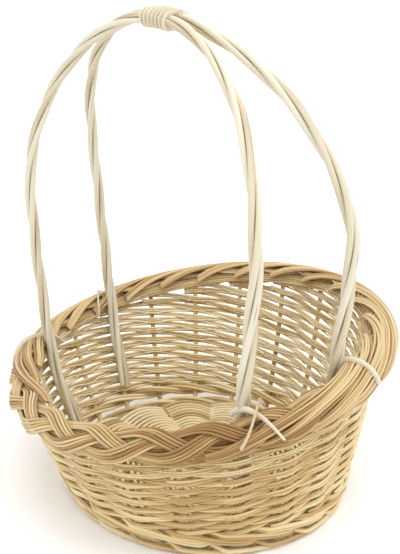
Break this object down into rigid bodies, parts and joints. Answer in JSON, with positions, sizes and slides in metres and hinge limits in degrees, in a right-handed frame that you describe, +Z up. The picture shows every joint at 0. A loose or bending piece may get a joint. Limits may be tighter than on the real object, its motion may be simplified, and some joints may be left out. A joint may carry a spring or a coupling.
{
  "type": "willow basket",
  "caption": "Round basket of peeled willow with a flaring woven wall, a plaited border and a fixed handle of two roped hoops bound together at the top.",
  "frame": {"origin": "middle of the foot of the whole basket's box, on the surface it stands on", "axes": "+Z up, the handle runs along Y, and the mouth is higher toward +X and -Y"},
  "size_m": [0.3904, 0.3948, 0.474],
  "materials": {
    "weave_willow": "peeled willow weaving rods, golden tan, satin",
    "stake_willow": "thicker peeled willow rods, a little browner, satin",
    "border_willow": "thin peeled willow rods laid side by side, tan, satin",
    "handle_willow": "thick pale peeled rods, smooth and satin",
    "split_willow": "split pale cane, satin"
  },
  "bodies": {
    "root": {"stake_01": "stake_willow", "stake_02": "stake_willow", "stake_03": "stake_willow", "stake_04": "stake_willow", "stake_05": "stake_willow", "stake_06": "stake_willow", "stake_07": "stake_willow", "stake_08": "stake_willow", "stake_09": "stake_willow", "stake_10": "stake_willow", "stake_11": "stake_willow", "stake_12": "stake_willow", "stake_13": "stake_willow", "stake_14": "stake_willow", "stake_15": "stake_willow", "stake_16": "stake_willow", "stake_17": "stake_willow", "stake_18": "stake_willow", "stake_19": "stake_willow", "stake_20": "stake_willow", "stake_21": "stake_willow", "weaver_1": "weave_willow", "weaver_2": "weave_willow", "weaver_3": "weave_willow", "weaver_4": "weave_willow", "weaver_5": "weave_willow", "weaver_6": "weave_willow", "weaver_7": "weave_willow", "weaver_8": "weave_willow", "upset_1_rod_1": "weave_willow", "upset_1_rod_2": "weave_willow", "upset_1_rod_3": "weave_willow", "upset_2_rod_1": "weave_willow", "upset_2_rod_2": "weave_willow", "upset_2_rod_3": "weave_willow", "base_stick_1": "stake_willow", "base_stick_2": "stake_willow", "base_stick_3": "stake_willow", "base_stick_4": "stake_willow", "cross_stick_1": "stake_willow", "cross_stick_2": "stake_willow", "cross_stick_3": "stake_willow", "base_weave_under": "weave_willow", "base_weave_over": "weave_willow", "border_strand_1": "border_willow", "border_strand_2": "border_willow", "border_strand_3": "border_willow", "hoop_near_rod_1": "handle_willow", "hoop_near_rod_2": "handle_willow", "hoop_near_rod_3": "handle_willow", "hoop_far_rod_1": "handle_willow", "hoop_far_rod_2": "handle_willow", "hoop_far_rod_3": "handle_willow", "handle_binding": "split_willow", "foot_tie_1": "split_willow", "foot_tie_2": "split_willow", "foot_tie_3": "split_willow", "foot_tie_4": "split_willow", "foot_tie_5": "split_willow"}
  },
  "joints": []
}
